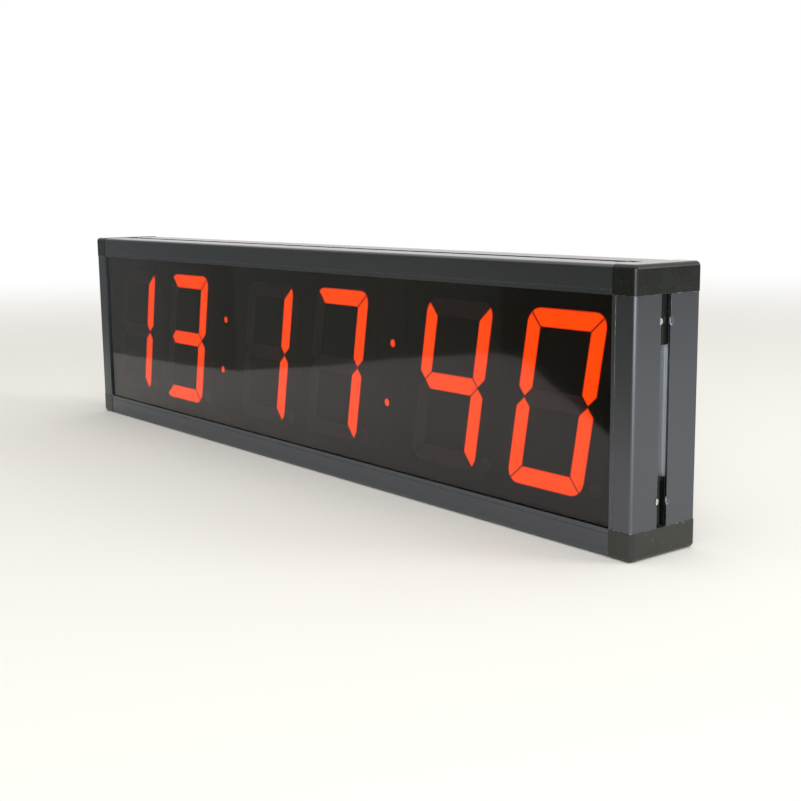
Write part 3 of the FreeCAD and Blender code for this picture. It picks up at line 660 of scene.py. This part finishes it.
class BackLook(bpy.types.PropertyGroup):
    """Rear cover, connector bay, buttons and screws."""
    cover_colour: tint("Cover", "Powder coat", "34363A")
    peel_size: length("Orange peel", "Wave of the powder coat", 1.1)
    peel_depth: length("Orange peel depth", "Height of that wave", 0.02)
    sheet_edge: length("Sheet edge", "Radius of a coated edge", 0.3)
    bay_colour: tint("Bay", "Moulded connector bay", "1C1D1F")
    button_colour: tint("Buttons", "Moulded buttons", "BFC0BC")
    screw_colour: tint("Screws", "Zinc plate", "B9BCC0")
    mark_colour: tint("Marks", "Prints beside the buttons", "C8C9C6")
    mark_size: length("Mark size", "Across a printed mark", 5.0)
    mark_rise: length("Mark rise", "From a button's middle to its mark", 9.5)
    ink_thickness: length("Ink", "Thickness of the print", 0.05)


class InsideLook(bpy.types.PropertyGroup):
    """Boards and what is soldered to them."""
    mask_colour: tint("Solder mask", "Mask between the tracks", "0E3A22")
    track_colour: tint("Tracks", "Copper under the mask", "1F6238")
    hole_colour: tint("Holes", "Tinned holes between the tracks", "9FA39A")
    track_pitch: length("Track pitch", "Between tracks", 1.27)
    track_height: length("Track height", "Copper thickness", 0.035)
    glass_weave: length("Weave", "Cloth that shows in the mask", 0.5)
    tin_colour: tint("Tin", "Solder and tinned legs", "C9CBCC")
    gold_colour: tint("Contacts", "Gold-flashed pins", "D8B25A")
    chip_colour: tint("Chips", "Moulded chip packages", "1B1C1E")
    plastic_colour: tint("Connectors", "Moulded connectors", "161718")
    can_colour: tint("Cans", "Aluminium capacitor cans", "B4B8BC")
    ferrite_colour: tint("Ferrite", "Pressed ferrite", "33333A")
    resistor_colour: tint("Resistors", "Glazed chip resistors", "15171C")
    solder_radius: length("Joint radius", "Foot of a solder joint", 0.95)
    solder_height: length("Joint height", "How far solder climbs a pin", 0.9)
    solder_tip: length("Joint tip", "Radius of a solder joint at its tip", 0.4)
    leg_width: length("Leg width", "Width of a chip's leg", 0.4)
    leg_reach: length("Leg reach", "From the package to its toe", 1.2)
    leg_thickness: length("Leg thickness", "Thickness of a leg", 0.15)


class StageLook(bpy.types.PropertyGroup):
    """Floor, light and camera."""
    floor_colour: tint("Floor", "Matt floor", "EFEDE6")
    world_colour: tint("Surroundings", "Colour of the surroundings", "FFFFFF")
    world_strength: amount("Surroundings strength", "Light that they give", 0.7)
    card_near_colour: tint("Card, right end", "Card that the panel mirrors", "7B7D6F")
    card_far_colour: tint("Card, left end", "Card that the panel mirrors", "A9ADAC")
    card_height: length("Card height", "Height of that card", 650.0)
    side_card_colour: tint("Side card", "Card that the right end mirrors", "989A9C")
    side_card_height: length("Side card height", "Height of that card", 450.0)
    key_power: amount("Tall soft lamp", "Lamp at the front right", 14.0, "POWER")
    top_power: amount("Overhead soft lamp", "Lamp above", 5.0, "POWER")
    side_power: amount("Side soft lamp", "Lamp at the back right", 6.0, "POWER")
    back_power: amount("Back soft lamp", "Lamp at the back left", 3.0, "POWER")
    camera_place: bpy.props.FloatVectorProperty(
        name="Camera", description="Where the camera stands", subtype="TRANSLATION",
        size=3, unit="LENGTH", default=(0.7248, -0.5018, 0.1914))
    camera_azimuth: degrees("Azimuth", "Round from the front to the right", 51.77)
    camera_elevation: degrees("Elevation", "Above level", 9.52)
    camera_roll: degrees("Roll", "Lean of the picture", -0.67)
    camera_lens: bpy.props.FloatProperty(
        name="Lens", description="Focal length on a 36 mm sensor", subtype="DISTANCE_CAMERA",
        default=56.13)


# Operators

class DressFrame(bpy.types.Operator):
    """Finishes the four profiles and adds the tongues of metal that their stakes pushed over"""
    bl_idname = "wall_clock.dress_frame"
    bl_label = "Aluminium frame"

    tongue_steps = 12

    def execute(self, context):
        look = context.scene.clock_frame
        cover_nodes(RAILS, anodised_aluminium(look, "anodised_aluminium_rail", 0))
        cover_nodes(STILES, anodised_aluminium(look, "anodised_aluminium_stile", 2))
        bare = plated_metal("cut_aluminium", look.bare_colour)
        draw = random.Random(3)
        mesh = bmesh.new()
        for outward, along, face, reach in self.outer_faces():
            for end in (-1, 1):
                for lip, into in ((look.groove_front, look.front_tongue),
                                  (look.groove_back, -look.back_tongue)):
                    centre = face + along * end * (reach - look.stake_from_cap)
                    centre.y = lip
                    self.add_tongue(mesh, centre, outward, along, into, look, draw)
        add_piece("stake_tongues", mesh, [bare])
        return {"FINISHED"}

    def outer_faces(self):
        """Outward and lengthwise direction, middle and half length of each outer face."""
        level, upright = Vector((1, 0, 0)), Vector((0, 0, 1))
        for name, outward, along in (
                ("top_rail", upright, level), ("bottom_rail", -upright, level),
                ("left_stile", -level, upright), ("right_stile", level, upright)):
            low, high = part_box(name)
            half = (high - low) / 2
            face = middle_of(name) + outward * abs(half.dot(outward))
            yield outward, along, face, half.dot(along)

    def add_tongue(self, mesh, centre, outward, along, into, look, draw):
        """A ragged half-round tongue that leans from a lip's edge down towards the key."""
        drop = outward * look.tongue_drop
        sideways = Vector((0, math.copysign(1, into), 0))
        root = centre - drop - sideways * look.tongue_root
        rim = []
        for i in range(self.tongue_steps + 1):
            angle = math.pi * i / self.tongue_steps
            reach = abs(into) * math.sin(angle) * draw.uniform(0.7, 1.0)
            rim.append(root + along * math.cos(angle) * look.tongue_width / 2
                       + sideways * reach - outward * reach * look.tongue_lean)
        upper = [mesh.verts.new(point) for point in rim]
        lower = [mesh.verts.new(point - drop) for point in rim]
        mesh.faces.new(upper)
        mesh.faces.new(lower[::-1])
        add_band(mesh, lower, upper)


class DressCaps(bpy.types.Operator):
    """Finishes the four corner caps, with another finish on the keys that lie in the grooves"""
    bl_idname = "wall_clock.dress_caps"
    bl_label = "Corner caps"

    def execute(self, context):
        look = context.scene.clock_frame
        cover_nodes(CAPS, moulded_nylon(look))
        # The keys get the caps' nylon with its specular level lowered: painted shade for the
        # groove
        shaded_key_finish = polished_nylon(look)
        middle = groove_middle(look)
        rail_end, stile_end = outer_corner(0).x, outer_corner(2).z - middle.z
        for name in CAPS:
            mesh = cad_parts[name].data
            mesh.materials.append(shaded_key_finish)
            for face in mesh.polygons:
                centre = face.center - middle
                if abs(centre.x) < rail_end or abs(centre.z) < stile_end:
                    face.material_index = 1
        return {"FINISHED"}


class DressPanel(bpy.types.Operator):
    """Finishes the tinted front panel and its seal"""
    bl_idname = "wall_clock.dress_panel"
    bl_label = "Front panel"

    def execute(self, context):
        look = context.scene.clock_display
        cover_nodes(["front_panel"], smoked_acrylic(look))
        cover_nodes(["panel_seal"], foam_rubber(look))
        return {"FINISHED"}


class DressDigits(bpy.types.Operator):
    """Finishes the digit modules with their lit and dark segments, and the colons"""
    bl_idname = "wall_clock.dress_digits"
    bl_label = "Digits and colons"

    def execute(self, context):
        look = context.scene.clock_display
        shells = [f"digit_{i}_housing" for i in DIGITS] + [f"colon_strip_{i}" for i in COLONS]
        cover_nodes(shells, inked_face(look))
        cover_nodes([f"digit_{i}_lit_segments" for i in DIGITS],
                    lit_diffuser(look, "glowing_epoxy", look.lit_strength))
        cover_nodes([f"digit_{i}_dark_segments" for i in DIGITS], dark_diffuser(look))
        cover_nodes([f"colon_lamps_{i}" for i in COLONS],
                    lit_diffuser(look, "glowing_lamp", look.lamp_strength))
        return {"FINISHED"}


class DressRearCover(bpy.types.Operator):
    """Finishes the rear cover and prints the marks of its buttons"""
    bl_idname = "wall_clock.dress_rear_cover"
    bl_label = "Rear cover"

    dot_corners = 24

    def execute(self, context):
        look = context.scene.clock_back
        cover_nodes(["rear_cover"], powder_coat(look))
        ink = moulded_plastic("screen_print", look.mark_colour)
        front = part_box("rear_cover")[1].y
        half = look.mark_size / 2
        angles = [math.tau * i / self.dot_corners for i in range(self.dot_corners)]
        outlines = {
            "set": [(half * math.cos(angle), half * math.sin(angle)) for angle in angles],
            "up": [(-half, -half), (half, -half), (0, half)],
            "down": [(-half, half), (0, -half), (half, half)],
        }
        mesh = bmesh.new()
        for name in BUTTONS:
            middle = middle_of("button_" + name)
            outline = [(middle.x + x, middle.z + look.mark_rise + z) for x, z in outlines[name]]
            add_prism(mesh, outline, front, front + look.ink_thickness)
        add_piece("button_marks", mesh, [ink])
        return {"FINISHED"}


class DressConnector(bpy.types.Operator):
    """Finishes the connector bay, the power jack and its pin"""
    bl_idname = "wall_clock.dress_connector"
    bl_label = "Connector bay"

    def execute(self, context):
        look = context.scene.clock_back
        inside = context.scene.clock_inside
        cover_nodes(["connector_bay"], moulded_plastic("moulded_abs_bay", look.bay_colour))
        cover_nodes(["power_jack"], moulded_plastic("moulded_pbt_jack", inside.plastic_colour))
        cover_nodes(["power_jack_pin"], plated_metal("nickel_plated_pin", inside.tin_colour))
        return {"FINISHED"}


class DressButtons(bpy.types.Operator):
    """Finishes the setting buttons"""
    bl_idname = "wall_clock.dress_buttons"
    bl_label = "Setting buttons"

    def execute(self, context):
        look = context.scene.clock_back
        cover_nodes(["button_" + name for name in BUTTONS],
                    moulded_plastic("moulded_abs_button", look.button_colour))
        return {"FINISHED"}


class DressScrews(bpy.types.Operator):
    """Finishes every machine screw and standoff"""
    bl_idname = "wall_clock.dress_screws"
    bl_label = "Screws"

    def execute(self, context):
        look = context.scene.clock_back
        cover_nodes(["cover_screws", "bay_screws", "board_screws", "standoffs"],
                    plated_metal("zinc_plated_steel", look.screw_colour))
        return {"FINISHED"}


class DressBoards(bpy.types.Operator):
    """Finishes the boards, their links and pins, and solders the pins"""
    bl_idname = "wall_clock.dress_boards"
    bl_label = "Circuit boards"

    joint_steps = 4
    joint_sides = 14

    def execute(self, context):
        look = context.scene.clock_inside
        boards = ["display_board_" + name for name in PAIRS] + ["main_board"]
        cover_nodes(boards, circuit_board(look))
        cover_nodes(["board_links", "pin_headers"],
                    moulded_plastic("moulded_pbt_header", look.plastic_colour))
        cover_nodes(["digit_pins"], plated_metal("gold_flashed_pin", look.gold_colour))
        tin = plated_metal("solder", look.tin_colour)
        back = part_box("display_board_hours")[1].y
        spread = look.solder_radius - look.solder_tip
        climbs = [i / self.joint_steps for i in range(self.joint_steps + 1)]
        profile = [(look.solder_tip + spread * (1 - climb) ** 2,
                    back + climb * look.solder_height) for climb in climbs]
        mesh = bmesh.new()
        for low, high in solids_of("digit_pins"):
            middle = (low + high) / 2
            add_turned(mesh, (middle.x, middle.z), profile, self.joint_sides)
        add_piece("solder_joints", mesh, [tin])
        return {"FINISHED"}


class DressComponents(bpy.types.Operator):
    """Finishes the parts on the main board, and adds legs and chip resistors"""
    bl_idname = "wall_clock.dress_components"
    bl_label = "Main board parts"

    # Legs in a row, and their pitch
    controller_legs = (11, 0.8 * MM)
    driver_legs = (7, 1.27 * MM)
    # Width, height above the board and length of a resistor, and how far each end is tinned
    resistor_size = (0.8 * MM, 0.45 * MM, 1.6 * MM)
    resistor_end = 0.3 * MM
    # From a driver down to the foot of its resistors
    resistor_drop = 4 * MM
    resistors_in_row = 4

    def execute(self, context):
        look = context.scene.clock_inside
        cover_nodes(["microcontroller", "segment_drivers"],
                    moulded_plastic("moulded_epoxy_package", look.chip_colour))
        cover_nodes(["power_inductor"], moulded_plastic("pressed_ferrite", look.ferrite_colour))
        cover_nodes(["capacitors"], plated_metal("drawn_aluminium_can", look.can_colour))
        cover_nodes(["clock_crystal", "backup_battery"],
                    plated_metal("nickel_plated_steel", look.tin_colour))
        cover_nodes(["battery_holder", "push_switches"],
                    moulded_plastic("moulded_pbt_part", look.plastic_colour))
        self.add_legs(look)
        self.add_resistors(look)
        return {"FINISHED"}

    def add_legs(self, look):
        """Bent legs along the sides of the chips."""
        tin = plated_metal("tinned_leg", look.tin_colour)
        mesh = bmesh.new()
        low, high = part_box("microcontroller")
        for side in range(4):
            self.add_leg_row(mesh, low, high, side, *self.controller_legs, look)
        for low, high in solids_of("segment_drivers"):
            for side in (0, 2):
                self.add_leg_row(mesh, low, high, side, *self.driver_legs, look)
        add_piece("chip_legs", mesh, [tin])

    def add_leg_row(self, mesh, low, high, side, count, pitch, look):
        """One row of legs. Side 0 is the right, and the others follow anticlockwise."""
        turn = Matrix.Rotation(-side * math.pi / 2, 4, "Y")
        middle = (low + high) / 2
        half = (high.x - low.x if side % 2 == 0 else high.z - low.z) / 2
        rise = middle.y - low.y
        thick = look.leg_thickness
        bend = look.leg_reach / 3
        top = [(0, rise), (bend, rise), (2 * bend, thick), (3 * bend, thick)]
        under = [(x, y - thick) for x, y in reversed(top)]
        outline = [(half + x, low.y - middle.y + y) for x, y in top + under]
        for i in range(count):
            offset = (i - (count - 1) / 2) * pitch
            rings = [[mesh.verts.new(middle + turn @ Vector((x, y, z))) for x, y in outline]
                     for z in (offset - look.leg_width / 2, offset + look.leg_width / 2)]
            for j in range(len(top) - 1):
                k = len(outline) - 1 - j
                for ring in rings:
                    mesh.faces.new((ring[j], ring[j + 1], ring[k - 1], ring[k]))
            add_band(mesh, rings[1], rings[0])

    def add_resistors(self, look):
        """A row of chip resistors under the drivers, each with two tinned ends."""
        body = moulded_plastic("glazed_resistor", look.resistor_colour)
        tin = plated_metal("tinned_end", look.tin_colour)
        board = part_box("main_board")[1].y
        across, rise, tall = self.resistor_size
        end = self.resistor_end
        mesh = bmesh.new()
        for low, high in solids_of("segment_drivers"):
            foot = low.z - self.resistor_drop
            for i in range(self.resistors_in_row):
                x = low.x + (i + 0.5) * (high.x - low.x) / self.resistors_in_row
                for start, stop, material in ((end, tall - end, 0), (0, end, 1),
                                              (tall - end, tall, 1)):
                    add_block(mesh, (x - across / 2, board, foot + start),
                              (x + across / 2, board + rise, foot + stop), material)
        add_piece("chip_resistors", mesh, [body, tin])


class SetStage(bpy.types.Operator):
    """Lays the floor, lights the clock and places the camera"""
    bl_idname = "wall_clock.set_stage"
    bl_label = "Stage"

    floor_reach = 6.0
    # How far from the clock the floor starts to fade into the surroundings, and is gone
    floor_fade = (0.6, 2.2)
    # Foot of the card that the panel mirrors, from left to right
    card_foot = ((-1.20, -0.017), (-0.684, -0.211), (-0.529, -0.222), (-0.446, -0.240),
                 (-0.412, -0.330), (-0.406, -0.430), (-0.360, -0.550), (-0.310, -0.538),
                 (-0.107, -0.395), (0.075, -0.266), (0.342, -0.396), (0.60, -0.493))
    # X at which that card has its right end's colour, and its left end's
    card_fade = (-0.34, -0.62)
    # Foot of the card that the right end mirrors
    side_foot = ((0.60, 1.35), (1.08, 0.92), (1.45, 0.45))
    # Place, aim, width, height and colour of each lamp, and the setting for its power
    lamps = {
        "tall_lamp": ((1.36, -0.94, 0.45), (0.2, 0, 0.30), 0.9, 0.9, "FFFFFF", "key_power"),
        "overhead_lamp": ((0.35, -0.05, 1.5), (0.1, 0, 0.08), 1.4, 0.9, "FFFFFF", "top_power"),
        "side_lamp": ((1.30, 0.90, 0.90), (0.5, 0.2, 0), 0.6, 0.6, "FFFFFF", "side_power"),
        "back_lamp": ((-1.70, 1.40, 0.65), (0, 0, 0.15), 1.8, 0.8, "FFF4E4", "back_power"),
    }

    def execute(self, context):
        look = context.scene.clock_stage
        self.add_floor(look)
        self.add_cards(look)
        self.add_lamps(look)
        self.set_world(context.scene, look)
        self.add_camera(context.scene, look)
        context.scene.view_settings.view_transform = "Standard"
        return {"FINISHED"}

    def add_flats(self, name, outlines, material):
        """A stage piece of flat faces, each with these corners."""
        mesh = bmesh.new()
        for corners in outlines:
            mesh.faces.new([mesh.verts.new(c) for c in corners])
        flats = add_object(name, mesh_data(name, mesh, [material]))
        return flats

    def add_floor(self, look):
        """A matt floor that fades into the surroundings far from the clock."""
        material, shader, place = new_surface(
            "matt_floor", Base_Color=look.floor_colour, Roughness=1.0, Specular_IOR_Level=0.0)
        far = add_node(place, "VectorMath", operation="LENGTH", Vector=place)
        fade_starts, fade_ends = self.floor_fade
        fade = add_node(place, "MapRange", interpolation_type="SMOOTHSTEP",
                        Value=far.outputs["Value"], From_Min=fade_starts, From_Max=fade_ends)
        glow = add_node(place, "Emission", Color=look.world_colour, Strength=1.0)
        put(material.node_tree.nodes["Material Output"], Surface=add_node(
            place, "MixShader", Fac=fade, Shader=shader, Shader_001=glow))
        reach = self.floor_reach
        corners = [(-reach, -reach, 0), (reach, -reach, 0), (reach, reach, 0), (-reach, reach, 0)]
        self.add_flats("floor", [corners], material)

    def add_cards(self, look):
        """Two cards that only glossy surfaces see: a dark one in front, for the panel, and a
        paler one at the back right, for the right end."""
        matt = {"Roughness": 0.9, "Specular_IOR_Level": 0.0}
        dark, shader, place = new_surface("dark_card", **matt)
        across = add_node(place, "SeparateXYZ", Vector=place).outputs["X"]
        near, far = self.card_fade
        fade = add_node(place, "MapRange", Value=across, From_Min=near, From_Max=far)
        put(shader, Base_Color=add_node(
            place, "Mix", data_type="RGBA", Factor_Float=fade, A_Color=look.card_near_colour,
            B_Color=look.card_far_colour))
        pale = new_surface("side_card", Base_Color=look.side_card_colour, **matt)[0]
        for name, foot, top, material in (
                ("card", self.card_foot, look.card_height, dark),
                ("side_card", self.side_foot, look.side_card_height, pale)):
            outlines = [[(*left, 0), (*right, 0), (*right, top), (*left, top)]
                        for left, right in zip(foot, foot[1:])]
            card = self.add_flats(name, outlines, material)
            card.visible_camera = False
            card.visible_diffuse = False
            card.visible_shadow = False

    def add_lamps(self, look):
        """Soft lamps: at the front right, overhead, at the back right and at the back left."""
        for name, (place, aim, width, height, colour, power) in self.lamps.items():
            data = bpy.data.lights.new(name, "AREA")
            data.shape = "RECTANGLE"
            data.size = width
            data.size_y = height
            data.color = linear(colour)
            data.energy = getattr(look, power)
            lamp = add_object(name, data)
            lamp.location = place
            lamp.rotation_euler = (Vector(aim) - Vector(place)).to_track_quat("-Z", "Y").to_euler()
            lamp.visible_camera = False

    def set_world(self, scene, look):
        """Plain surroundings: white to the camera, in gloss and through glass, and soft light."""
        world = bpy.data.worlds.new("pale_surroundings")
        world.use_nodes = True
        tree = world.node_tree
        path = add_node(tree, "LightPath")
        shown = path.outputs["Is Camera Ray"]
        for ray in ("Is Glossy Ray", "Is Transmission Ray"):
            shown = add_node(tree, "Math", operation="MAXIMUM", Value=shown,
                             Value_001=path.outputs[ray])
        put(tree.nodes["Background"], Color=look.world_colour, Strength=add_node(
            tree, "MapRange", Value=shown, To_Min=look.world_strength, To_Max=1.0))
        scene.world = world

    def add_camera(self, scene, look):
        """The camera, at the photograph's viewing angle."""
        data = bpy.data.cameras.new("camera")
        data.lens = look.camera_lens
        data.clip_start = 0.01
        camera = add_object("camera", data)
        stand = Matrix.Translation(look.camera_place)
        for angle, axis in ((look.camera_azimuth, "Z"), (math.pi / 2 - look.camera_elevation, "X"),
                            (look.camera_roll, "Z")):
            stand @= Matrix.Rotation(angle, 4, axis)
        camera.matrix_world = stand
        scene.camera = camera


OPERATORS = (DressFrame, DressCaps, DressPanel, DressDigits, DressRearCover, DressConnector,
             DressButtons, DressScrews, DressBoards, DressComponents, SetStage)
GROUPS = {
    "clock_frame": FrameLook,
    "clock_display": DisplayLook,
    "clock_back": BackLook,
    "clock_inside": InsideLook,
    "clock_stage": StageLook,
}


class ClockPanel(bpy.types.Panel):
    """Lists the steps and their settings"""
    bl_idname = "VIEW3D_PT_wall_clock"
    bl_label = "Wall Clock"
    bl_space_type = "VIEW_3D"
    bl_region_type = "UI"
    bl_category = "Wall Clock"

    def draw(self, context):
        for operator in OPERATORS:
            self.layout.operator(operator.bl_idname)
        for name, group in GROUPS.items():
            box = self.layout.box()
            settings = getattr(context.scene, name)
            for key in group.__annotations__:
                box.prop(settings, key)


def register():
    for group in (*GROUPS.values(), *OPERATORS, ClockPanel):
        bpy.utils.register_class(group)
    for name, group in GROUPS.items():
        setattr(bpy.types.Scene, name, bpy.props.PointerProperty(type=group))


def unregister():
    for name in GROUPS:
        delattr(bpy.types.Scene, name)
    for group in (ClockPanel, *OPERATORS, *GROUPS.values()):
        bpy.utils.unregister_class(group)


def main():
    """Builds the whole scene."""
    register()
    for operator in OPERATORS:
        family, name = operator.bl_idname.split(".")
        getattr(getattr(bpy.ops, family), name)()


if __name__ == "__main__":
    main()
